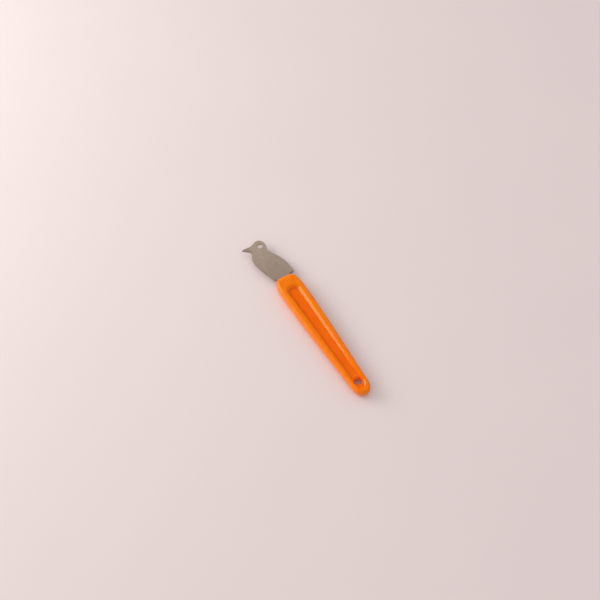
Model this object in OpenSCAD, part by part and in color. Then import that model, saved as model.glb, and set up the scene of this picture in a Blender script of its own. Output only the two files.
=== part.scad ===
// Pipe deburring tool: a flat bird-profile scraper blade moulded into a one-piece plastic handle.
// Frame: the origin is on the hang hole's axis at mid thickness. +X runs along the handle towards
// the blade, +Y is the side the beak points to, and +Z is up through the thickness.
// The tool lies flat on its lower rim, which is at z = -handle_t / 2 near the nose.

/* [Handle] */
// Length of the handle from tail to nose
handle_l = 115.6; // [110:0.2:122]
// Distance from the tail's end to the hang hole's axis
hang_x = 10.6; // [10.4:0.1:11.2]
// Width across the widest part, a little behind the nose
handle_w = 19.6; // [18.6:0.2:21]
// Width at the hang hole
tail_w = 13.2; // [13:0.2:14]
// How fast each side flares at the hang hole, in mm per mm
tail_flare = 0.04; // [0.03:0.002:0.05]
// Distance from the hang hole to where the handle is widest
widest_x = 88; // [80:1:90]
// Thickness over the two rims, at the nose
handle_t = 9; // [8.4:0.2:10]
// Thickness over the two rims at the tail's end
tail_t = 6.4; // [6:0.2:8]
// Length over which the handle thickens, from the tail's end
taper_l = 100; // [60:5:105]
// How far the rounded edge reaches in from the side at the tail
edge_in_tail = 1.8; // [0.8:0.1:1.8]
// How far the rounded edge reaches in from the side at the nose
edge_in_nose = 2.3; // [1.2:0.1:2.4]
// How far the edge's rounding reaches in from the nose's end
nose_dome = 4.8; // [2.4:0.1:6]
// Height of the straight band left on the side, between the two rounded edges
side_band = 2.4; // [1:0.2:4]
// Squareness of the nose in plan: 2 is an ellipse, more is squarer
nose_square = 3.6; // [2.6:0.2:4]
// Squareness of the tail in plan
tail_square = 2.6; // [2:0.1:3]

/* [Recess in each broad face] */
// Width of the mouth at its wide end
mouth_w = 12.6; // [11:0.1:13]
// Width of the mouth at the hang hole
mouth_tail_w = 8.8; // [8:0.2:9]
// Reach of the mouth beyond the hang hole's axis, towards the tail's end
mouth_end = 8.2; // [6:0.2:8.2]
// Width of the floor at its wide end
floor_w = 7; // [4.4:0.2:7.4]
// Width of the floor where it is narrowest, near the tail
floor_tail_w = 4.2; // [3.6:0.2:4.8]
// Width of the floor's pad round the hang hole
pad_w = 6.8; // [6.8:0.2:7.2]
// Reach of the floor's pad beyond the hang hole's axis, towards the tail's end
pad_end = 5.4; // [4:0.2:5.4]
// Thickness of the web between the two recesses
web_t = 4.9; // [3:0.1:5.2]
// Length of the solid block from the recess's mouth to the nose
block_l = 10; // [10:0.1:14]
// Length of the front wall in plan: shorter is steeper
front_wall = 3.7; // [1.6:0.1:4]

/* [Hang hole] */
// Diameter of the hang hole through the web
hang_d = 6.2; // [4:0.2:6.4]

/* [Blade] */
// Thickness of the steel plate
blade_t = 1.5; // [1:0.1:2]
// Distance from the handle's nose to the blade's shoulders
neck_l = 1.2; // [0.2:0.2:2]
// Length of the blade from its shoulders to the top of the head
blade_l = 39.1; // [36:0.1:42]
// Reach of the belly on the beak's side of the centre line
belly_y = 12.7; // [12:0.1:14]
// Reach of the back on the other side of the centre line
back_y = 10.1; // [9:0.1:10.5]
// Diameter of the round head
head_d = 9.4; // [9:0.1:10]
// Distance of the head's centre from the centre line
head_y = 1.1; // [0.8:0.1:1.8]
// Diameter of the eye hole
eye_d = 4.2; // [3:0.2:4.6]
// How far the eye hole lies behind the head's centre
eye_back = 1; // [0:0.1:1.2]
// How far the eye hole lies off the head's centre, away from the beak
eye_in = 0.2; // [0:0.1:0.4]
// Reach of the beak's tip from the centre line
beak_y = 15; // [14.4:0.2:16.4]

/* [Tang inside the handle] */
// Length of tang buried in the plastic
tang_l = 30; // [25:1:40]
// Width of the tang
tang_w = 11.4; // [8:0.2:12]
// Diameter of the two keying holes that the plastic fills
key_d = 4; // [3:0.5:5]
// Distance between the two keying holes
key_gap = 13; // [10:0.5:14]

/* [Hidden] */
$fn = 96;

nose_x = handle_l - hang_x;
mouth_x = nose_x - block_l;
shoulder_x = nose_x + neck_l;
tang_x = nose_x - tang_l;
key_inset = 7;    // from the nose to the nearer keying hole
key_x = nose_x - key_inset;
head_r = head_d / 2;
head_x = shoulder_x + blade_l - head_r;
cut_extra = 2;    // added to a cutter's height so that it passes right through

// ---- shared curve helpers ----

cap_steps = 12;    // steps round each end of a plan outline
run_steps = 20;    // steps along the run between its ends

function mix(from, to, share) = from + (to - from) * share;

function clamp(value) = min(1, max(0, value));

// Eases from 0 to 1 as the value goes from 0 to 1
function ease(value) = let (t = clamp(value)) t * t * (3 - 2 * t);

// A cubic that starts with the given slope and arrives level, for t from 0 to 1
function flare_to(start, slope, end, t) =
    start * (2 * t^3 - 3 * t^2 + 1) + slope * (t^3 - 2 * t^2 + t) + end * (3 * t^2 - 2 * t^3);

// Stations from tail to nose as [x, share of the half width]: a cap, a straight run and a cap.
// Each cap is given by its centre, its reach in x and its squareness.
function stations(tail_x, tail_reach, tail_power, front_x, front_reach, front_power) = concat(
    [for (i = [0:cap_steps]) let (a = 90 * i / cap_steps)
        [tail_x - tail_reach * pow(cos(a), 2 / tail_power), pow(sin(a), 2 / tail_power)]],
    [for (i = [1:run_steps - 1]) [mix(tail_x, front_x, i / run_steps), 1]],
    [for (i = [0:cap_steps]) let (a = 90 * i / cap_steps)
        [front_x + front_reach * pow(sin(a), 2 / front_power), pow(cos(a), 2 / front_power)]]);

// A closed ring from one side's points, tail to nose and back along the mirrored side
function ring(side) = concat(side,
    [for (i = [len(side) - 2:-1:1]) [side[i][0], -side[i][1]]]);

// Unit normal at point i of a closed ring, pointing out of it
function out_normal(points, i) = let (
        count = len(points),
        along = points[(i + 1) % count] - points[(i + count - 1) % count],
        length = norm(along))
    [-along[1] / length, along[0] / length];

// Cubic curve that leaves out its end point, which the next piece of outline supplies
function bezier(start, pull_1, pull_2, end, steps) = [
    for (i = [0:steps - 1]) let (t = i / steps, u = 1 - t)
        start * u^3 + pull_1 * 3 * u^2 * t + pull_2 * 3 * u * t^2 + end * t^3];

function polar(centre, radius, angle) =
    [centre[0] + radius * cos(angle), centre[1] + radius * sin(angle)];

function arc(centre, radius, from, to, steps) =
    [for (i = [0:steps]) polar(centre, radius, mix(from, to, i / steps))];

// ---- handle: plan outlines ----

tail_cap_x = -1;                // where the rounded tail starts
nose_cap_x = widest_x - 2;      // where the rounded nose starts
mouth_cap = 5;                  // reach of the mouth's rounded front end
mouth_square = 2.7;
mouth_flare_power = 1.3;        // above 1, the mouth widens faster towards the nose
floor_cap = 2.6;                // reach of the floor's rounded front end
floor_square = 2.5;
pad_blend = 9;                  // length over which the pad narrows into the strip
tail_end_square = 2;            // both recess outlines end in half an ellipse at the tail
taper_power = 1.5;              // above 1, the thickening levels off towards the nose

function handle_half(x) =
    x < 0 ? tail_w / 2 + tail_flare * x
    : x > widest_x ? handle_w / 2
    : flare_to(tail_w / 2, tail_flare * widest_x, handle_w / 2, x / widest_x);
handle_plan = ring([
    for (s = stations(tail_cap_x, hang_x + tail_cap_x, tail_square,
            nose_cap_x, nose_x - nose_cap_x, nose_square))
        [s[0], s[1] * handle_half(s[0])]]);
handle_out = [for (i = [0:len(handle_plan) - 1]) out_normal(handle_plan, i)];

// Half of the thickness over the rims at x: it thins towards the tail
function rim_z(x) =
    mix(handle_t, tail_t, pow(1 - clamp((x + hang_x) / taper_l), taper_power)) / 2;

function mouth_half(x) =
    mix(mouth_tail_w, mouth_w, pow(clamp(x / mouth_x), mouth_flare_power)) / 2;
mouth_plan = ring([
    for (s = stations(0, mouth_end, tail_end_square,
            mouth_x - mouth_cap, mouth_cap, mouth_square))
        [s[0], s[1] * mouth_half(s[0])]]);

// The floor is a pad round the hang hole that narrows into a long strip
function floor_half(x) = let (strip = mix(floor_tail_w, floor_w, max(0, x) / mouth_x) / 2)
    mix(pad_w / 2, strip, ease(x / pad_blend));
floor_plan = ring([
    for (s = stations(0, pad_end, tail_end_square,
            mouth_x - front_wall - floor_cap, floor_cap, floor_square))
        [s[0], s[1] * floor_half(s[0])]]);

// ---- handle: rings up the outside and down into the recess ----
// In each ring, up is 1 for the upper face and -1 for the lower one.

// The nose's deeper rounding comes in as the outward normal's x rises from this value to 1
dome_from = 0.2;
front_blend = 4;          // length over which the side walls turn into the front wall
front_drop_power = 2.1;   // above 1, the front wall falls away more slowly at its top

// Outer ring whose edge is rounded by the angle, 0 at the straight band and 90 at the rim
function side_ring(angle, up) = [for (i = [0:len(handle_plan) - 1]) let (
        edge_in = mix(edge_in_tail, edge_in_nose, (handle_plan[i][0] + hang_x) / handle_l)
            + (nose_dome - edge_in_nose)
                * ease((handle_out[i][0] - dome_from) / (1 - dome_from)),
        point = handle_plan[i] - handle_out[i] * edge_in * (1 - cos(angle)))
    [point[0], point[1], up * mix(side_band / 2, rim_z(point[0]), sin(angle))]];

// Recess ring on the wall, for one row of wall_steps
function recess_ring(step, up) = [for (i = [0:len(mouth_plan) - 1]) let (
        point = mix(mouth_plan[i], floor_plan[i], step[0]),
        front = ease((mouth_plan[i][0] - mouth_x + mouth_cap) / front_blend),
        drop = mix(step[1], pow(max(0, step[0]), front_drop_power), front))
    [point[0], point[1], up * mix(rim_z(point[0]), web_t / 2, drop)]];

edge_steps = [90, 72, 54, 36, 18, 0];

// [share across from mouth to floor, share of the depth on the side walls]
// The wall eases over at the mouth and into the floor at its foot.
wall_steps = [[-0.1, 0], [0.1, 0.06], [0.3, 0.2], [0.6, 0.55], [0.86, 0.88], [1, 1]];

// From the lower floor out to the side, up it and in to the upper floor
shell_rings = concat(
    [for (i = [len(wall_steps) - 1:-1:0]) recess_ring(wall_steps[i], -1)],
    [for (angle = edge_steps) side_ring(angle, -1)],
    [for (i = [len(edge_steps) - 1:-1:0]) side_ring(edge_steps[i], 1)],
    [for (step = wall_steps) recess_ring(step, 1)]);

module shell() {
    count = len(handle_plan);
    last = len(shell_rings) - 1;
    polyhedron(
        points = [for (points = shell_rings) each points],
        faces = concat(
            [[for (i = [count - 1:-1:0]) i]],
            [[for (i = [0:count - 1]) last * count + i]],
            [for (j = [0:last - 1], i = [0:count - 1], half = [0, 1]) let (
                    a = j * count + i,
                    b = j * count + (i + 1) % count,
                    c = b + count,
                    d = a + count)
                half == 0 ? [a, b, c] : [a, c, d]]));
}

// ---- blade: plan outline ----

tang_r = 2;      // tang's end corners
neck_r = 0.6;    // fillets where the tang meets the shoulders
root_r = 0.8;    // shoulders' outer corners
belly_root = belly_y - 5.4;
back_root = back_y - 0.1;

// Tang's end corners, each counter-clockwise
tang_beak_corner = arc([tang_x + tang_r, tang_w / 2 - tang_r], tang_r, 90, 180, 8);
tang_back_corner = arc([tang_x + tang_r, -tang_w / 2 + tang_r], tang_r, 180, 270, 8);

// Points where the outline's curves meet
head = [head_x, head_y];
back_mid = [shoulder_x + 16.2, -back_y + 2.5];
nape = head + [-7.2, -3.4];
brow = head + [2.5, 8];
tip = [head_x + 2.5, beak_y - 0.2];
tip_inner = tip + [-0.9, -0.6];
throat = [head_x - 2.5, beak_y - 5.4];
throat_beak = throat + [1.2, 0.9];
throat_belly = throat + [-1.3, 0.3];
belly_top = [head_x - 11.6, belly_y];

// Counter-clockwise from the tang's end corner on the back's side
blade_plan = concat(
    // tang, back side
    tang_back_corner,
    arc([shoulder_x - neck_r, -tang_w / 2 - neck_r], neck_r, 90, 0, 6),
    // back, from the root corner up to the nape
    arc([shoulder_x + root_r, -back_root + root_r], root_r, 180, 262, 6),
    bezier([shoulder_x + 1, -back_root], [shoulder_x + 5.2, -back_y - 0.25],
        [shoulder_x + 11.2, -back_y + 0.4], back_mid, 14),
    bezier(back_mid, [shoulder_x + 21.2, -back_y + 4.6], nape + [-2, -0.2], nape, 14),
    // nape into the round head
    bezier(nape, nape + [1.8, 0], head + [-3.4, -head_r], head + [-0.4, -head_r], 10),
    arc(head, head_r, 270, 389, 25),
    // forehead and the beak's outer edge
    bezier(polar(head, head_r, 31), head + [3.1, 3.9], head + [2.45, 5.8], brow, 8),
    bezier(brow, [head_x + 2.55, beak_y - 4.6], [head_x + 2.85, beak_y - 3], tip, 10),
    // the tip and the beak's inner edge
    [tip, tip + [-0.12, 0.1], tip + [-0.35, -0.02]],
    bezier(tip_inner, tip + [-1.85, -1.95], tip + [-3.2, -3.4], throat_beak, 8),
    // throat
    bezier(throat_beak, throat + [0.5, 0.2], throat + [-0.3, -0.1], throat_belly, 8),
    // belly, back down to the root corner
    bezier(throat_belly, throat + [-3.5, 1.1], [head_x - 7.6, belly_y], belly_top, 14),
    bezier(belly_top, [head_x - 17.2, belly_y], [shoulder_x + 4.7, belly_y - 3.7],
        [shoulder_x + 0.8, belly_root + 0.1], 20),
    arc([shoulder_x + root_r, belly_root - root_r + 0.1], root_r, 90, 180, 6),
    // tang, beak side
    arc([shoulder_x - neck_r, tang_w / 2 + neck_r], neck_r, 0, -90, 6),
    tang_beak_corner);

module key_plugs() {
    for (x = [key_x, key_x - key_gap])
        translate([x, 0, 0]) cylinder(d = key_d, h = blade_t + cut_extra, center = true);
}

// The space that the buried tang takes in the plastic, less the plugs that key it
module tang_space() {
    difference() {
        linear_extrude(height = blade_t, center = true)
            polygon(concat(
                [[shoulder_x, tang_w / 2]],
                tang_beak_corner,
                tang_back_corner,
                [[shoulder_x, -tang_w / 2]]));
        key_plugs();
    }
}

// ---- the two pieces ----

module handle() {
    color([0.98, 0.47, 0.08])
    difference() {
        shell();
        cylinder(d = hang_d, h = handle_t + cut_extra, center = true);
        tang_space();
    }
}

module blade() {
    color([0.61, 0.55, 0.49])
    difference() {
        linear_extrude(height = blade_t, center = true) polygon(blade_plan);
        translate([head_x - eye_back, head_y - eye_in, 0])
            cylinder(d = eye_d, h = blade_t + cut_extra, center = true);
        key_plugs();
    }
}

handle();
blade();
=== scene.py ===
import math

import bmesh
import bpy
import numpy as np
from mathutils import Matrix, Vector
from mathutils.geometry import delaunay_2d_cdt


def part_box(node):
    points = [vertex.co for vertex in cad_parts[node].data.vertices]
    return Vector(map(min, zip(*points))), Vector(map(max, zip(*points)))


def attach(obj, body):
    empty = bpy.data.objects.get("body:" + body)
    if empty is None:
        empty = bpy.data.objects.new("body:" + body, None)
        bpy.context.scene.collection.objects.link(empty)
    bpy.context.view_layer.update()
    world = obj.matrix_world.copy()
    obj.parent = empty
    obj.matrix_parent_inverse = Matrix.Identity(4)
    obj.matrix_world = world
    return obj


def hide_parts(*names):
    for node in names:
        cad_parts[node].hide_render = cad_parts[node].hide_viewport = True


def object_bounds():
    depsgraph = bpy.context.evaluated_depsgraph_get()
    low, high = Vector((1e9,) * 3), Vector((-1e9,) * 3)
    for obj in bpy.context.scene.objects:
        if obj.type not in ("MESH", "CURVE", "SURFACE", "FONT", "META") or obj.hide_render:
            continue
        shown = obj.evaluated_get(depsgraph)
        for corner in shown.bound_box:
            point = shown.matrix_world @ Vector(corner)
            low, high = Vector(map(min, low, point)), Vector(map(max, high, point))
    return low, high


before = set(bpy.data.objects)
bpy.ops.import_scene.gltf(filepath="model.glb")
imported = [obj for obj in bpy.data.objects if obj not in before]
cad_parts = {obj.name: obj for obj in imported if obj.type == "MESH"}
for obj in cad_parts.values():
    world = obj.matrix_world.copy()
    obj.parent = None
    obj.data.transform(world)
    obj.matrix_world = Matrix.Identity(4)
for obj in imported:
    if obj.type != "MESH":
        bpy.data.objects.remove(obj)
cad_lo, cad_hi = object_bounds()

# ---------------------------------------------------------------- sizes, in mm

MM = 0.001
handle_lo, handle_hi = (np.array(corner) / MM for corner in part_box("handle"))
blade_lo, blade_hi = (np.array(corner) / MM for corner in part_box("blade"))

# handle plan
TAIL_X, NOSE_X = handle_lo[0], handle_hi[0]
HALF_WIDTH, HALF_THICK = handle_hi[1], handle_hi[2]
WIDEST_X = 88.0
TAIL_HALF = 6.6                          # half width at x = 0
FLARE = 0.04                             # slope of the sides at the tail
TAIL_CAP_X, NOSE_CAP_X = -1, WIDEST_X - 2
TAIL_SQUARE, NOSE_SQUARE = 2.6, 3.6      # superellipse powers of the end caps

# handle section
TAIL_HALF_THICK, TAPER_LENGTH = 3.2, 100.0
EDGE_TAIL, EDGE_NOSE = 1.8, 2.3          # how far the edge rounding reaches in
NOSE_DOME = 4.8                          # the same, over the nose end
SIDE_BAND = 1.2                          # half height of the upright side wall
WEB_HALF = 2.45                          # half thickness between the two recess floors

# recesses
MOUTH_X = NOSE_X - 10.0
MOUTH_HALF, MOUTH_TAIL_HALF = 6.3, 4.4
FLOOR_HALF, FLOOR_TAIL_HALF = 3.5, 2.1
PAD_HALF, PAD_LENGTH = 3.4, 9            # wider floor around the hang hole
MOUTH_END, FLOOR_END = 8.2, 5.4          # reach past x = 0 towards the tail
MOUTH_CAP, FLOOR_CAP = 5, 2.6            # lengths of the rounded nose ends
FRONT_WALL = 3.7                         # run of the sloping wall at the nose end

# hang hole and ejector pin marks
HANG_R = 3.1
PIN_MARKS_X = (22.0, 52.0, 80.0)

# blade
BLADE_HALF_THICK = blade_hi[2]
SHOULDER_X = NOSE_X + 1.2
HEAD_R = 4.7
HEAD_X, HEAD_Y = blade_hi[0] - HEAD_R, 1.1
EYE_R = 2.1
EYE_X, EYE_Y = HEAD_X - 1.0, HEAD_Y - 0.2
BELLY_Y, BACK_Y, BEAK_Y = 12.7, 10.1, 15.0
BEAK_TIP = np.array([HEAD_X + 2.5, BEAK_Y - 0.2])
TANG_HALF, TANG_X, TANG_R = 5.7, blade_lo[0], 2.0
KEY_R = 2.0                              # keying holes through the tang
KEYS_X = (NOSE_X - 7.0, NOSE_X - 7.0 - 13.0)
SLOT_GAP = 0.02                          # clearance between tang and handle


# ---------------------------------------------------------------- curves

def smooth01(t):
    t = np.clip(t, 0, 1)
    return t * t * (3 - 2 * t)


def hermite(start, slope, end, t):
    """From start, leaving with the given slope, to a level arrival at end."""
    return start * (2 * t**3 - 3 * t**2 + 1) + slope * (t**3 - 2 * t**2 + t) + end * (3 * t**2 - 2 * t**3)


def even(points, count):
    """count + 1 points spread evenly by length along a polyline."""
    steps = np.linalg.norm(np.diff(points, axis=0), axis=1)
    length = np.concatenate([[0], np.cumsum(steps)])
    wanted = np.linspace(0, length[-1], count + 1)
    return np.stack([np.interp(wanted, length, points[:, k]) for k in range(2)], 1)


def arc(centre, radius, start, end, count):
    """count + 1 points on an arc, both ends included; angles in degrees."""
    angle = np.radians(np.linspace(start, end, count + 1))
    return np.stack([centre[0] + radius * np.cos(angle), centre[1] + radius * np.sin(angle)], 1)


def quad_bezier(a, b, c, count):
    """count points, both ends included."""
    t = np.linspace(0, 1, count)[:, None]
    return (1 - t) ** 2 * np.array(a) + 2 * t * (1 - t) * np.array(b) + t**2 * np.array(c)


def cubic_bezier(a, b, c, d, count):
    """count points, the last end left out."""
    t = np.linspace(0, 1, count + 1)[:-1, None]
    u = 1 - t
    return (np.array(a) * u**3 + np.array(b) * 3 * u**2 * t
            + np.array(c) * 3 * u * t**2 + np.array(d) * t**3)


def directions(outline):
    """Unit direction of a closed outline at each of its points."""
    along = np.roll(outline, -1, 0) - np.roll(outline, 1, 0)
    return along / np.linalg.norm(along, axis=1)[:, None]


def at_height(points, z):
    return np.column_stack([points, np.full(len(points), z)])


# ---------------------------------------------------------------- meshes

def mesh_object(name, verts_mm, faces):
    mesh = bpy.data.meshes.new(name)
    mesh.from_pydata([tuple(v) for v in np.asarray(verts_mm) * MM], [], faces)
    mesh.validate()
    mesh.update()
    made = bpy.data.objects.new(name, mesh)
    bpy.context.scene.collection.objects.link(made)
    return made


def ring_solid(name, rings):
    """A closed solid from rings that run clockwise seen from +Z, from the lower cap to the upper."""
    count, levels = len(rings[0]), len(rings)
    faces = [tuple(range(count))]
    for j in range(levels - 1):
        for i in range(count):
            a, b = j * count + i, j * count + (i + 1) % count
            faces.append((a, a + count, b + count, b))
    faces.append(tuple((levels - 1) * count + i for i in range(count - 1, -1, -1)))
    return mesh_object(name, np.concatenate(rings), faces)


def lathe(name, profile, centre, count):
    """A closed solid turned about a vertical axis from (radius, height) points, lowest first."""
    angle = -np.linspace(0, 2 * math.pi, count, endpoint=False)
    circle = np.stack([np.cos(angle), np.sin(angle)], 1)
    return ring_solid(name, [at_height(np.array(centre) + r * circle, z) for r, z in profile])


def subtract(target, cutter):
    modifier = target.modifiers.new("cut", "BOOLEAN")
    modifier.object, modifier.operation, modifier.solver = cutter, "DIFFERENCE", "EXACT"
    bpy.context.view_layer.update()
    graph = bpy.context.evaluated_depsgraph_get()
    done = bpy.data.meshes.new_from_object(target.evaluated_get(graph))
    target.modifiers.remove(modifier)
    old = target.data
    target.data = done
    done.name = target.name
    bpy.data.meshes.remove(old)
    bpy.data.objects.remove(cutter)


def weld(piece):
    """Merges the coincident points that the cuts leave, and drops faces shrunk to nothing."""
    bm = bmesh.new()
    bm.from_mesh(piece.data)
    bmesh.ops.remove_doubles(bm, verts=bm.verts, dist=0.0015 * MM)
    bmesh.ops.dissolve_degenerate(bm, edges=bm.edges, dist=0.0005 * MM)
    bm.to_mesh(piece.data)
    bm.free()
    piece.data.update()


def smooth(piece, sharp_degrees=30):
    """Smooth shading with sharp edges kept, and true level normals out to the rim of level faces."""
    mesh = piece.data
    mesh.polygons.foreach_set("use_smooth", [True] * len(mesh.polygons))
    mesh.set_sharp_from_angle(angle=math.radians(sharp_degrees))
    mesh.update()
    level = {}                           # vertex: (area, normal) of its largest level face
    for face in mesh.polygons:
        if abs(face.normal.z) > 0.9999 and face.area > 1e-9:
            for v in face.vertices:
                if face.area > level.get(v, (0, None))[0]:
                    level[v] = (face.area, face.normal.copy())
    normals = []
    for corner, loop in zip(mesh.corner_normals, mesh.loops):
        normal = corner.vector
        flat = level.get(loop.vertex_index, (0, None))[1]
        normals.append(tuple(flat if flat is not None and normal.z * flat.z > 0.8 else normal))
    mesh.normals_split_custom_set(normals)
    mesh.update()


def store(piece, name, values):
    attribute = piece.data.attributes.new(name, "FLOAT", "POINT")
    attribute.data.foreach_set("value", np.asarray(values, np.float32))


def vertices_mm(piece):
    flat = np.empty(len(piece.data.vertices) * 3, np.float32)
    piece.data.vertices.foreach_get("co", flat)
    return flat.reshape(-1, 3) / MM


# ---------------------------------------------------------------- handle

CAP_STEPS, SIDE_STEPS = 44, 96
# (share across from mouth to floor, share of the depth) where the wall meets its rounded ends
WALL_TOP, WALL_FOOT = [0.30, 0.18], [0.86, 0.86]
# (height, outward offset) of the fine parting ridge where the two mould halves met
PARTING_RIDGE = ((-0.42, 0.0), (-0.13, 0.0), (-0.05, 0.045), (0.05, 0.045), (0.13, 0.0), (0.42, 0.0))
# (added radius, height from the web's surface) of the hang hole's rounded lip, upper side
HANG_LIP = [(0.0, 0.55), (0.03, 0.37), (0.10, 0.20), (0.21, 0.08), (0.34, 0.02),
            (0.48, -0.001), (0.48, -0.4)]
# (radius, height from the recess floor) of an ejector pin mark, upper side
PIN_MARK = [(1.0, -0.05), (1.24, -0.035), (1.3, 0.0), (1.3, 0.3)]


def closed_outline(half, tail, nose):
    """A ring from the tail's end along +Y to the nose and back along -Y.

    half gives the half width at x; each end cap is (x where it starts, length, superellipse power).
    """
    (tail_start, tail_length, tail_power), (nose_start, nose_length, nose_power) = tail, nose
    angle = np.linspace(0, math.pi / 2, 900)
    x = tail_start - tail_length * np.cos(angle) ** (2 / tail_power)
    tail_cap = np.stack([x, np.sin(angle) ** (2 / tail_power) * half(x)], 1)
    x = np.linspace(tail_start, nose_start, 900)
    side = np.stack([x, half(x)], 1)
    x = nose_start + nose_length * np.sin(angle) ** (2 / nose_power)
    nose_cap = np.stack([x, np.cos(angle) ** (2 / nose_power) * half(x)], 1)
    tail_cap[0, 1] = 0
    nose_cap[-1, 1] = 0
    there = np.concatenate([even(tail_cap, CAP_STEPS)[:-1], even(side, SIDE_STEPS)[:-1],
                            even(nose_cap, CAP_STEPS)])
    return np.concatenate([there, there[-2:0:-1] * [1, -1]])


def handle_half(x):
    mid = hermite(TAIL_HALF, FLARE * WIDEST_X, HALF_WIDTH, np.clip(x / WIDEST_X, 0, 1))
    return np.where(x < 0, TAIL_HALF + FLARE * x, mid)


def mouth_half(x):
    return MOUTH_TAIL_HALF + (MOUTH_HALF - MOUTH_TAIL_HALF) * np.clip(x / MOUTH_X, 0, 1) ** 1.3


def floor_half(x):
    strip = FLOOR_TAIL_HALF + (FLOOR_HALF - FLOOR_TAIL_HALF) * np.clip(x, 0, None) / MOUTH_X
    return PAD_HALF + (strip - PAD_HALF) * smooth01(x / PAD_LENGTH)


def half_thick(x):
    """Half of the thickness over the rims: it thins towards the tail."""
    share = np.clip((x - TAIL_X) / TAPER_LENGTH, 0, 1)
    return HALF_THICK - (HALF_THICK - TAIL_HALF_THICK) * (1 - share) ** 1.5


def recess_rings():
    """Down the upper recess wall, with a soft mouth edge and foot."""
    mouth = closed_outline(mouth_half, tail=(0, MOUTH_END, 2), nose=(MOUTH_X - MOUTH_CAP, MOUTH_CAP, 2.7))
    floor = closed_outline(floor_half, tail=(0, FLOOR_END, 2),
                           nose=(MOUTH_X - FRONT_WALL - FLOOR_CAP, FLOOR_CAP, 2.5))
    # 1 on the wall at the nose end, which dips more gently, and 0 on the side walls
    front = smooth01((mouth[:, 0] - MOUTH_X + MOUTH_CAP) / 4)
    profile = np.concatenate([quad_bezier([-0.12, 0.0], [0.10, 0.0], WALL_TOP, 11),
                              np.linspace(WALL_TOP, WALL_FOOT, 10)[1:-1],
                              quad_bezier(WALL_FOOT, [0.975, 1.0], [1.2, 1.0], 9)])
    rings = []
    for across, drop in profile:
        points = mouth + (floor - mouth) * across
        height = half_thick(points[:, 0])
        drop = drop + (min(max(across, 0.0), 1.0) ** 2.1 - drop) * front
        rings.append(at_height(points, height - drop * (height - WEB_HALF)))
    return rings


def handle_rings():
    plan = closed_outline(handle_half, tail=(TAIL_CAP_X, TAIL_CAP_X - TAIL_X, TAIL_SQUARE),
                          nose=(NOSE_CAP_X, NOSE_X - NOSE_CAP_X, NOSE_SQUARE))
    outward = directions(plan)[:, ::-1] * [-1, 1]
    edge_in = EDGE_TAIL + (EDGE_NOSE - EDGE_TAIL) * (plan[:, 0] - TAIL_X) / (NOSE_X - TAIL_X)
    edge_in += (NOSE_DOME - EDGE_NOSE) * smooth01((outward[:, 0] - 0.2) / 0.8)
    side = []                            # the upper rounded edge, from the rim outwards
    for angle in np.radians(np.linspace(90, 0, 15)):
        points = plan - outward * (edge_in * (1 - math.cos(angle)))[:, None]
        rise = (half_thick(points[:, 0]) - SIDE_BAND) * math.sin(angle)
        side.append(at_height(points, SIDE_BAND + rise))
    recess = recess_rings()
    ridge = [at_height(plan + outward * out * 0.999, z) for z, out in PARTING_RIDGE]
    lower = [ring * [1, 1, -1] for ring in recess[::-1] + side]
    return lower + ridge + side[::-1] + recess


def cut_hang_hole(handle):
    profile = [(HANG_R + r, -WEB_HALF - z * -1) for r, z in reversed(HANG_LIP)]
    profile += [(HANG_R + r, WEB_HALF - z) for r, z in HANG_LIP]
    subtract(handle, lathe("cut_hang_hole", profile, (0, 0), 120))


def cut_pin_marks(handle):
    for x in PIN_MARKS_X:
        for side, mark in ((1, PIN_MARK), (-1, PIN_MARK[::-1])):
            profile = [(r, side * WEB_HALF + side * z) for r, z in mark]
            subtract(handle, lathe("cut_pin_mark", profile, (x, 0), 56))


def cut_tang_slot(handle):
    """The slot that the tang fills, with the plugs through its keying holes left standing."""
    mouth_x, half = SHOULDER_X + 3, TANG_HALF + SLOT_GAP
    corner_x, corner_y, corner_r = TANG_X + TANG_R, TANG_HALF - TANG_R, TANG_R + SLOT_GAP
    outline = np.concatenate([[[mouth_x, -half], [mouth_x, half]],
                              arc([corner_x, corner_y], corner_r, 90, 180, 12),
                              arc([corner_x, -corner_y], corner_r, 180, 270, 12)])[::-1]
    height = BLADE_HALF_THICK + SLOT_GAP
    slot = ring_solid("cut_slot", [at_height(outline, -height), at_height(outline, height)])
    plug_r = KEY_R - SLOT_GAP
    for x in KEYS_X:
        subtract(slot, lathe("cut_plug", [(plug_r, -3), (plug_r, 3)], (x, 0), 64))
    subtract(handle, slot)


def store_handle_masks(handle):
    x, y, z = vertices_mm(handle).T
    height, half = np.abs(z), half_thick(x)
    margin = 0.3
    inside = ((np.abs(y) < mouth_half(x) + margin) & (x < MOUTH_X + margin)
              & (x > -MOUTH_END - margin))
    # 0 on the rims to 1 on the recess floors; it places the painted shade of the floors and the dark
    # patches
    deep = np.clip((half - height) / (half - WEB_HALF), 0, 1)
    store(handle, "deep", np.where(inside, deep, 0))
    # strongest on the rounded edges 0.5 mm below the rims, where the painted highlight goes
    edge = np.clip(1 - np.abs(half - height - 0.5) / 0.7, 0, 1)
    store(handle, "edge", (height - SIDE_BAND > 0.3) * edge * np.where(inside, 0.4, 1.0))
    store(handle, "bore", (np.hypot(x, y) < HANG_R + 0.4) & (height < WEB_HALF))


def build_handle():
    handle = ring_solid("handle_moulding", handle_rings())
    cut_hang_hole(handle)
    cut_pin_marks(handle)
    cut_tang_slot(handle)
    weld(handle)
    smooth(handle)
    return handle


# ---------------------------------------------------------------- blade

# (inset, height) up the stamped edge: a drawn-in lower part, a straight band, a rolled-over top
STAMPED_EDGE = [(0.10, -BLADE_HALF_THICK), (0.045, -BLADE_HALF_THICK + 0.03),
                (0.03, -BLADE_HALF_THICK + 0.10), (0.0, BLADE_HALF_THICK * 0.1),
                (0.0, BLADE_HALF_THICK - 0.22), (0.02, BLADE_HALF_THICK - 0.11),
                (0.07, BLADE_HALF_THICK - 0.035), (0.16, BLADE_HALF_THICK)]
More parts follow.
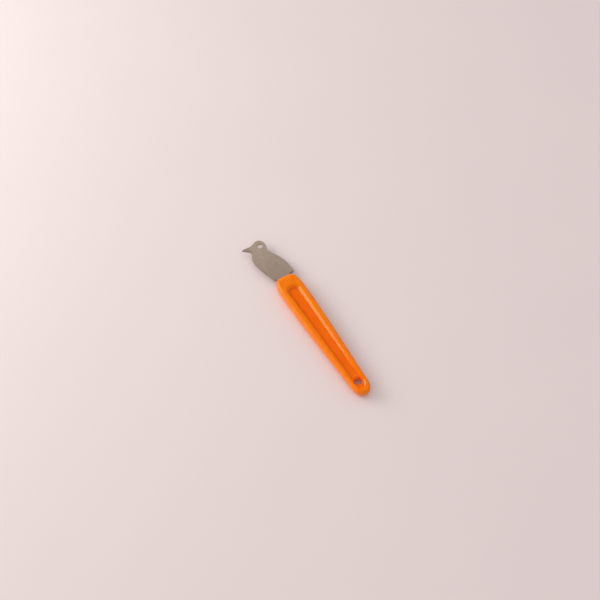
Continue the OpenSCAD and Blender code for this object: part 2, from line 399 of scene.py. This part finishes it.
# (centre, radius, segments)
HOLES = [((EYE_X, EYE_Y), EYE_R, 96)] + [((x, 0), KEY_R, 64) for x in KEYS_X]


def blade_outline():
    """Counter-clockwise from the tang's end: along the -Y back, round the head, beak, +Y belly."""
    neck_r, root_r = 0.6, 0.8            # inner and outer corners of the shoulders
    neck_x, root_x, tang_x = SHOULDER_X - neck_r, SHOULDER_X + root_r, TANG_X + TANG_R
    neck_y, tang_y = TANG_HALF + neck_r, TANG_HALF - TANG_R
    back_root, belly_root = BACK_Y - 0.1, BELLY_Y - 5.4 + 0.1
    back = np.array([SHOULDER_X, -BACK_Y])
    head = np.array([HEAD_X, HEAD_Y])
    nape = head + [-7.2, -3.4]
    throat = np.array([HEAD_X - 2.5, BEAK_Y - 5.4])
    belly = np.array([HEAD_X - 11.6, BELLY_Y])
    tip = BEAK_TIP
    parts = [
        arc([tang_x, -tang_y], TANG_R, 180, 270, 20),
        arc([neck_x, -neck_y], neck_r, 90, 0, 12),
        arc([root_x, -back_root + root_r], root_r, 180, 262, 12),
        # back
        cubic_bezier([SHOULDER_X + 1, -back_root], back + [5.2, -0.25], back + [11.2, 0.4],
                     back + [16.2, 2.5], 40),
        cubic_bezier(back + [16.2, 2.5], back + [21.2, 4.6], nape + [-2, -0.2], nape, 40),
        cubic_bezier(nape, nape + [1.8, 0], head + [-3.4, -HEAD_R], head + [-0.4, -HEAD_R], 24),
        # head, and the outer side of the beak
        arc(head, HEAD_R, 270, 390, 58),
        cubic_bezier(head + [HEAD_R * 0.8572, HEAD_R * 0.5150], head + [3.1, 3.9],
                     head + [2.45, 5.8], head + [2.5, 8], 22),
        cubic_bezier(head + [2.5, 8], [HEAD_X + 2.55, BEAK_Y - 4.6], [HEAD_X + 2.85, BEAK_Y - 3],
                     tip, 28),
        quad_bezier(tip, tip + [-0.1, 0.16], tip + [-0.35, -0.02], 6),
        # inner side of the beak, and the throat
        cubic_bezier(tip + [-0.9, -0.6], tip + [-1.85, -1.95], tip + [-3.2, -3.4],
                     throat + [1.2, 0.9], 24),
        cubic_bezier(throat + [1.2, 0.9], throat + [0.5, 0.2], throat + [-0.3, -0.1],
                     throat + [-1.3, 0.3], 20),
        # belly
        cubic_bezier(throat + [-1.3, 0.3], throat + [-3.5, 1.1], belly + [4, 0], belly, 40),
        cubic_bezier(belly, belly + [-5.6, 0], [SHOULDER_X + 4.7, BELLY_Y - 3.7],
                     [root_x, belly_root], 60),
        arc([root_x, belly_root - root_r], root_r, 90, 180, 12),
        arc([neck_x, neck_y], neck_r, 0, -90, 12),
        arc([tang_x, tang_y], TANG_R, 90, 180, 20),
    ]
    points = np.concatenate(parts)
    return points[np.linalg.norm(points - np.roll(points, 1, 0), axis=1) > 0.02]


def blade_loops(outline):
    """(points, normal out of the steel) of the outline and of each hole."""
    outward = directions(outline)[:, ::-1] * [1, -1]
    # the rolled edge fades out at the beak's sharp tip, so that its rings never cross there
    from_tip = np.linalg.norm(outline - BEAK_TIP, axis=1)
    loops = [(outline, outward * (0.12 + 0.88 * smooth01(from_tip / 1.4))[:, None])]
    for centre, radius, count in HOLES:
        angle = -np.linspace(0, 2 * math.pi, count, endpoint=False)
        circle = np.stack([np.cos(angle), np.sin(angle)], 1)
        loops.append((np.array(centre) + radius * circle, -circle))
    return loops


def fill_broad_face(verts, faces, loops, level, inner):
    """Triangulates between the loops' rings at one level of the stamped edge, through inner points."""
    z = STAMPED_EDGE[level][1]
    rim, rim_index, bounds, start = [], [], [], 0
    for points, _ in loops:
        count, first = len(points), len(rim)
        ring = range(start + level * count, start + (level + 1) * count)
        bounds += [(first + i, first + (i + 1) % count) for i in range(count)]
        rim += [Vector(verts[i][:2]) for i in ring]
        rim_index += ring
        start += count * len(STAMPED_EDGE)
    places, _, triangles, sources, _, _ = delaunay_2d_cdt(
        rim + [Vector(point) for point in inner], bounds, [], 1, 1e-7)
    index = {}                           # triangulated point: mesh vertex
    for i, source in enumerate(sources):
        on_rim = [k for k in source if k < len(rim)]
        if on_rim:
            index[i] = rim_index[on_rim[0]]
    for triangle in triangles:
        middle = sum((places[i] for i in triangle), Vector((0, 0))) / 3
        if any((middle - Vector(centre)).length < radius for centre, radius, _ in HOLES):
            continue
        for i in triangle:
            if i not in index:
                index[i] = len(verts)
                verts.append(np.array([places[i][0], places[i][1], z]))
        face = [index[i] for i in triangle]
        a, b, c = (verts[i] for i in face)
        faces_up = np.cross(b - a, c - a)[2] > 0
        faces.append(tuple(face if faces_up == (level != 0) else face[::-1]))


def build_blade(outline):
    loops = blade_loops(outline)
    verts, faces = [], []
    for points, outward in loops:
        start, count = len(verts), len(points)
        for inset, z in STAMPED_EDGE:
            verts.extend(at_height(points - outward * inset, z))
        for j in range(len(STAMPED_EDGE) - 1):
            for i in range(count):
                a, b = start + j * count + i, start + j * count + (i + 1) % count
                faces.append((a, b, b + count, a + count))
    # a grid of points inside the broad faces, clear of the edges
    step, clear = 0.9, 0.7
    inner = np.stack(np.meshgrid(np.arange(blade_lo[0], blade_hi[0], step),
                                 np.arange(blade_lo[1], blade_hi[1], step)), -1).reshape(-1, 2)
    nearest = np.min([np.min(np.linalg.norm(inner[:, None] - points[None, ::2], axis=2), axis=1)
                      for points, _ in loops], axis=0)
    for level in (0, len(STAMPED_EDGE) - 1):
        fill_broad_face(verts, faces, loops, level, inner[nearest > clear])
    blade = mesh_object("blade_steel", verts, faces)
    smooth(blade)
    return blade


def store_blade_masks(blade, outline):
    points = vertices_mm(blade)
    x, y, z = points.T
    from_eye = np.hypot(x - EYE_X, y - EYE_Y)
    from_outline = np.min(np.linalg.norm(points[:, None, :2] - outline[None], axis=2), axis=1)
    # mm in from the outline or the eye; it places the painted edge shade
    store(blade, "to_edge", np.min([from_outline, np.abs(from_eye - EYE_R)], axis=0))
    # 1 on the sheared side wall, faint in the eye
    wall = np.abs(z) < BLADE_HALF_THICK - 0.12
    store(blade, "cut", wall * np.where(from_eye < EYE_R + 0.5, 0.05, 1.0))
    store(blade, "beak", smooth01((y - 7.5) / 3.5) * smooth01((x - HEAD_X + 4.5) / 2.5))


handle = build_handle()
steel_outline = blade_outline()
blade = build_blade(steel_outline)
store_handle_masks(handle)
store_blade_masks(blade, steel_outline)


# ---------------------------------------------------------------- materials

def colour(value):
    """A plain number stands for a grey."""
    return (value, value, value, 1) if isinstance(value, (int, float)) else value


def srgb(*channels):
    """Linear colour from 0-255 sRGB channels."""
    shares = [c / 255 for c in channels]
    return (*(c / 12.92 if c <= 0.04045 else ((c + 0.055) / 1.055) ** 2.4 for c in shares), 1.0)


class NodeKit:
    """Adds nodes to one tree; wherever a value goes, an output socket may go instead."""

    def __init__(self, tree):
        self.tree = tree

    def feed(self, value, socket):
        if hasattr(value, "is_output"):
            self.tree.links.new(value, socket)
        else:
            socket.default_value = value

    def fill(self, node, values):
        for name, value in values.items():
            if name in node.inputs:
                self.feed(value, node.inputs[name])
            else:
                setattr(node, name, value)

    def node(self, kind, **values):
        made = self.tree.nodes.new("ShaderNode" + kind)
        self.fill(made, values)
        return made

    def attribute(self, name):
        return self.node("Attribute", attribute_name=name).outputs["Fac"]

    def math(self, operation, a, b):
        made = self.node("Math", operation=operation)
        self.feed(a, made.inputs[0])
        self.feed(b, made.inputs[1])
        return made.outputs[0]

    def ramp(self, source, *stops):
        """Stops are (position, grey or colour)."""
        made = self.node("ValToRGB", Fac=source)
        elements = made.color_ramp.elements
        while len(elements) < len(stops):
            elements.new(0.5)
        for element, (position, value) in zip(elements, stops):
            element.position = position
            element.color = colour(value)
        return made.outputs["Color"]

    def mix(self, factor, a, b, mode="MIX"):
        made = self.node("Mix", data_type="RGBA", blend_type=mode)
        # 6 and 7 are the colour inputs, output 2 the colour result
        for value, place in ((factor, 0), (colour(a), 6), (colour(b), 7)):
            self.feed(value, made.inputs[place])
        return made.outputs[2]

    def multiply(self, a, b):
        return self.mix(1.0, a, b, "MULTIPLY")

    def noise(self, scale, stretch=(1, 1, 1), detail=3.0, rough=0.5, offset=(0, 0, 0), turn=0):
        place = self.node("Mapping", Vector=self.place, Scale=stretch, Location=offset,
                          Rotation=(0, 0, turn))
        return self.node("TexNoise", Vector=place.outputs["Vector"], Scale=scale, Detail=detail,
                         Roughness=rough).outputs["Fac"]

    def scratches(self, scale, turn, offset, thin=0.012):
        """Sparse fine lines: thin level lines of a stretched noise, broken by a second. 1 on a line."""
        waves = self.noise(scale, stretch=(0.10, 1.0, 1.0), detail=1.0, rough=0.4, offset=offset,
                           turn=turn)
        line = self.ramp(waves, (0.5 - thin, 0.0), (0.5, 1.0), (0.5 + thin, 0.0))
        patches = self.noise(scale * 0.35, detail=2.0, offset=offset[::-1])
        return self.multiply(line, self.ramp(patches, (0.54, 0.0), (0.62, 1.0)))

    def bumped(self, texture, strength, distance, lines, line_strength):
        """A normal raised by the texture, with the scratch lines cut in."""
        bump = self.node("Bump", Height=texture, Strength=strength, Distance=distance)
        return self.node("Bump", Height=lines, Normal=bump.outputs["Normal"], invert=True,
                         Strength=line_strength, Distance=0.00002).outputs["Normal"]


def new_material(name):
    material = bpy.data.materials.new(name)
    material.use_nodes = True
    material.node_tree.nodes.clear()
    kit = NodeKit(material.node_tree)
    surface = kit.node("BsdfPrincipled")
    kit.node("OutputMaterial", Surface=surface.outputs["BSDF"])
    kit.place = kit.node("TexCoord").outputs["Object"]
    return material, kit, surface


def orange_plastic():
    material, kit, surface = new_material("orange_plastic")
    deep, bore, edge = (kit.attribute(name) for name in ("deep", "bore", "edge"))
    flow = kit.noise(scale=45, stretch=(0.35, 1, 1))      # slow swirl of pigment along the flow
    mottle = kit.noise(scale=260, rough=0.55, offset=(0.01, 0.02, 0))

    def swirled(a, b):
        return kit.mix(kit.ramp(flow, (0.3, 0.0), (0.7, 1.0)), a, b)

    # painted shade: the recess floors coloured darker and redder than the yellower rims
    floor_shaded = swirled((0.97, 0.149, 0.0006, 1), (1.0, 0.161, 0.0010, 1))
    rims = swirled((0.95, 0.203, 0.0012, 1), (0.99, 0.219, 0.002, 1))
    base = kit.multiply(kit.mix(deep, rims, floor_shaded), kit.ramp(mottle, (0.3, 0.955), (0.7, 1.03)))
    # painted highlight: the rounded edges a touch paler and yellower, in patches
    edge_sheen = kit.multiply(edge, kit.ramp(mottle, (0.42, 0.0), (0.62, 1.0)))
    base = kit.mix(kit.multiply(edge_sheen, 0.22), base, (1.0, 0.30, 0.02, 1))
    # sparse darker patches, mostly low in the recess
    dark_patches = kit.noise(scale=520, detail=4.0, rough=0.65, offset=(0.03, 0.05, 0))
    dark_patches = kit.multiply(kit.ramp(dark_patches, (0.62, 0.0), (0.74, 1.0)), kit.mix(deep, 0.05, 0.30))
    base = kit.mix(dark_patches, base, (0.42, 0.07, 0.004, 1))
    # hairline scratches
    lines = kit.mix(1.0, kit.scratches(scale=420, turn=0.35, offset=(0.1, 0.2, 0)),
                    kit.scratches(scale=380, turn=-0.5, offset=(0.4, 0.1, 0)), "ADD")
    base = kit.mix(kit.multiply(lines, 0.12), base, (1.0, 0.34, 0.06, 1))
    # duller where scratched and on the paler edges
    rough = kit.ramp(mottle, (0.3, 0.165), (0.7, 0.205))
    for wear, dull in ((lines, 0.42), (edge_sheen, 0.32)):
        rough = kit.mix(kit.multiply(wear, 0.5), rough, dull)
    grain = kit.noise(scale=1500, rough=0.6)              # faint moulded texture
    kit.fill(surface, {
        "Base Color": base,
        "Roughness": rough,
        "Specular IOR Level": 0.5,
        "Specular Tint": (1.0, 0.85, 0.42, 1),
        "Subsurface Radius": (1.0, 0.3, 0.05),
        "Subsurface Weight": kit.ramp(bore, (0.0, 0.5), (1.0, 0.8)),
        "Subsurface Scale": 0.002,
        # painted light: the hang hole's wall glows faintly, a stand-in for light passed on through the
        # thin translucent wall
        "Emission Color": (1.0, 0.20, 0.008, 1),
        "Emission Strength": kit.ramp(bore, (0.0, 0.0), (1.0, 0.075)),
        "Normal": kit.bumped(kit.mix(0.5, grain, mottle), strength=0.12, distance=0.00003,
                             lines=lines, line_strength=0.25),
    })
    return material


def satin_steel():
    material, kit, surface = new_material("satin_steel")
    grain = kit.noise(scale=900, stretch=(0.05, 1.0, 1.0), detail=4.0, rough=0.6)  # lengthwise
    streaks = kit.noise(scale=330, stretch=(0.16, 1.0, 1.0), detail=2.0, offset=(0.3, 0.1, 0))
    tarnish = kit.noise(scale=170, detail=4.0, rough=0.6, offset=(0.011, 0.004, 0))
    stains = kit.noise(scale=620, detail=2.0, offset=(0.02, 0.07, 0))
    cut = kit.attribute("cut")
    along = kit.node("SeparateXYZ", Vector=kit.place).outputs["X"]
    towards_tip = kit.node("MapRange", interpolation_type="SMOOTHSTEP", Value=along,
                     **{"From Min": 0.104, "From Max": 0.146}).outputs["Result"]
    near_edge = kit.math("MULTIPLY", kit.attribute("to_edge"), 0.5)    # 0 to 1 over 2 mm

    shade = kit.ramp(grain, (0.30, 0.94), (0.70, 1.05))
    for source, *stops in (
        (streaks, (0.30, 0.95), (0.72, 1.04)),
        (tarnish, (0.30, 0.92), (0.50, 1.0), (0.72, 1.06)),
        (stains, (0.22, 0.72), (0.34, 1.0), (1.0, 1.0)),
        (towards_tip, (0.0, 0.90), (1.0, 1.08)),                # darker towards the handle
        # painted shade: darkest at the outline and the eye, fading out about 1.2 mm in, for the darker
        # reflection on the rolled edge
        (near_edge, (0.02, 0.84), (0.22, 0.93), (0.6, 1.0)),
        (kit.attribute("beak"), (0.0, 1.0), (1.0, 0.85)),  # the beak a little darker
    ):
        shade = kit.multiply(shade, kit.ramp(source, *stops))
    lines = kit.mix(1.0, kit.scratches(scale=520, turn=0.9, offset=(0.2, 0.3, 0)),
                    kit.scratches(scale=430, turn=-0.25, offset=(0.5, 0.2, 0)), "ADD")
    shade = kit.multiply(shade, kit.mix(lines, 1, (1.18, 1.17, 1.15, 1)))
    face = kit.multiply(shade, (0.665, 0.525, 0.42, 1))
    sheared = kit.multiply(kit.ramp(stains, (0.3, 0.7), (0.7, 1.1)), (0.30, 0.235, 0.19, 1))
    kit.fill(surface, {
        "Base Color": kit.mix(cut, face, sheared),
        "Metallic": 0.6,
        "Roughness": kit.mix(cut, kit.ramp(tarnish, (0.3, 0.47), (0.7, 0.37)), 0.62),
        "Normal": kit.bumped(kit.mix(0.3, grain, stains), strength=0.10, distance=0.00004,
                             lines=lines, line_strength=0.3),
    })
    return material


def pale_table():
    material, kit, surface = new_material("pale_table")
    kit.fill(surface, {
        "Base Color": kit.ramp(kit.noise(scale=9, rough=0.55), (0.3, srgb(232, 219.4, 218.8)),
                               (0.7, srgb(233.6, 220.8, 220))),
        "Roughness": kit.ramp(kit.noise(scale=160, rough=0.6), (0.3, 0.52), (0.7, 0.58)),
        "Specular IOR Level": 0.3,
    })
    return material


handle.data.materials.append(orange_plastic())
blade.data.materials.append(satin_steel())

for piece, name, slot in ((handle, "handle", "handle_plastic"), (blade, "blade", "blade_steel")):
    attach(piece, "root")
    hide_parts(name)

# ---------------------------------------------------------------- floor, light and camera, in metres

LEFT = Vector((0.5142, 0.8577, 0.0))     # towards the left of the view, level
FAR = Vector((0.8577, -0.5142, 0.0))     # away from the viewer, level
UP = Vector((0, 0, 1))
scene = bpy.context.scene


def add_floor():
    mesh = bpy.data.meshes.new("floor")
    bm = bmesh.new()
    bmesh.ops.create_grid(bm, x_segments=2, y_segments=2, size=3.0)
    bm.to_mesh(mesh)
    bm.free()
    ground = bpy.data.objects.new("floor", mesh)
    ground.location = (0, 0, cad_lo[2] - 0.03 * MM)       # a hair clear of the flat underside
    scene.collection.objects.link(ground)
    mesh.materials.append(pale_table())


def add_world():
    """A softly lit room: brighter on the left, and dimmer where only reflections see it."""
    ambient, ambient_left, glossy_share = 0.765, 0.17, 0.23
    world = bpy.data.worlds.new("studio")
    scene.world = world
    world.use_nodes = True
    kit = NodeKit(world.node_tree)
    leftness = kit.node("VectorMath", operation="DOT_PRODUCT")
    kit.feed(kit.node("TexCoord").outputs["Generated"], leftness.inputs[0])
    kit.feed(LEFT, leftness.inputs[1])
    glossy = kit.node("LightPath").outputs["Is Glossy Ray"]
    level = kit.math("MULTIPLY", leftness.outputs["Value"], ambient_left)
    level = kit.math("ADD", level, ambient)
    dim = kit.math("SUBTRACT", 1.0, kit.math("MULTIPLY", glossy, 1 - glossy_share))
    kit.fill(world.node_tree.nodes["Background"],
             {"Color": (1.0, 0.965, 0.955, 1), "Strength": kit.math("MULTIPLY", level, dim)})


def add_key_light():
    """A softbox 1 m from the subject."""
    subject = Vector((0.07, 0.0, 0.0))
    # azimuth 0 is the view's left, 90 is away from the viewer
    azimuth, elevation = math.radians(19), math.radians(25)
    level = LEFT * math.cos(azimuth) + FAR * math.sin(azimuth)
    direction = (level * math.cos(elevation) + UP * math.sin(elevation)).normalized()
    lamp = bpy.data.lights.new("key_light", "AREA")
    lamp.shape = "RECTANGLE"
    lamp.size, lamp.size_y = 0.8, 0.42
    lamp.energy = 5.2
    lamp.color = (1.0, 0.985, 0.97)
    light = bpy.data.objects.new("key_light", lamp)
    scene.collection.objects.link(light)
    light.location = subject + direction
    light.rotation_euler = direction.to_track_quat("Z", "Y").to_euler()


def add_camera():
    lens = bpy.data.cameras.new("camera")
    lens.lens = 60.0
    lens.sensor_width = 36.0
    lens.clip_start, lens.clip_end = 0.01, 20.0
    camera = bpy.data.objects.new("camera", lens)
    scene.collection.objects.link(camera)
    right = -LEFT
    back = right.cross(Vector((0.7193, -0.4312, 0.5446)))
    axes = [axis.normalized() for axis in (right, back.cross(right), back)]
    turn = Matrix(axes).transposed().to_4x4()
    camera.matrix_world = Matrix.Translation((-0.2691, 0.2097, 0.6292)) @ turn
    scene.camera = camera


add_floor()
add_world()
add_key_light()
add_camera()
scene.view_settings.view_transform = "Standard"
scene.view_settings.look = "None"
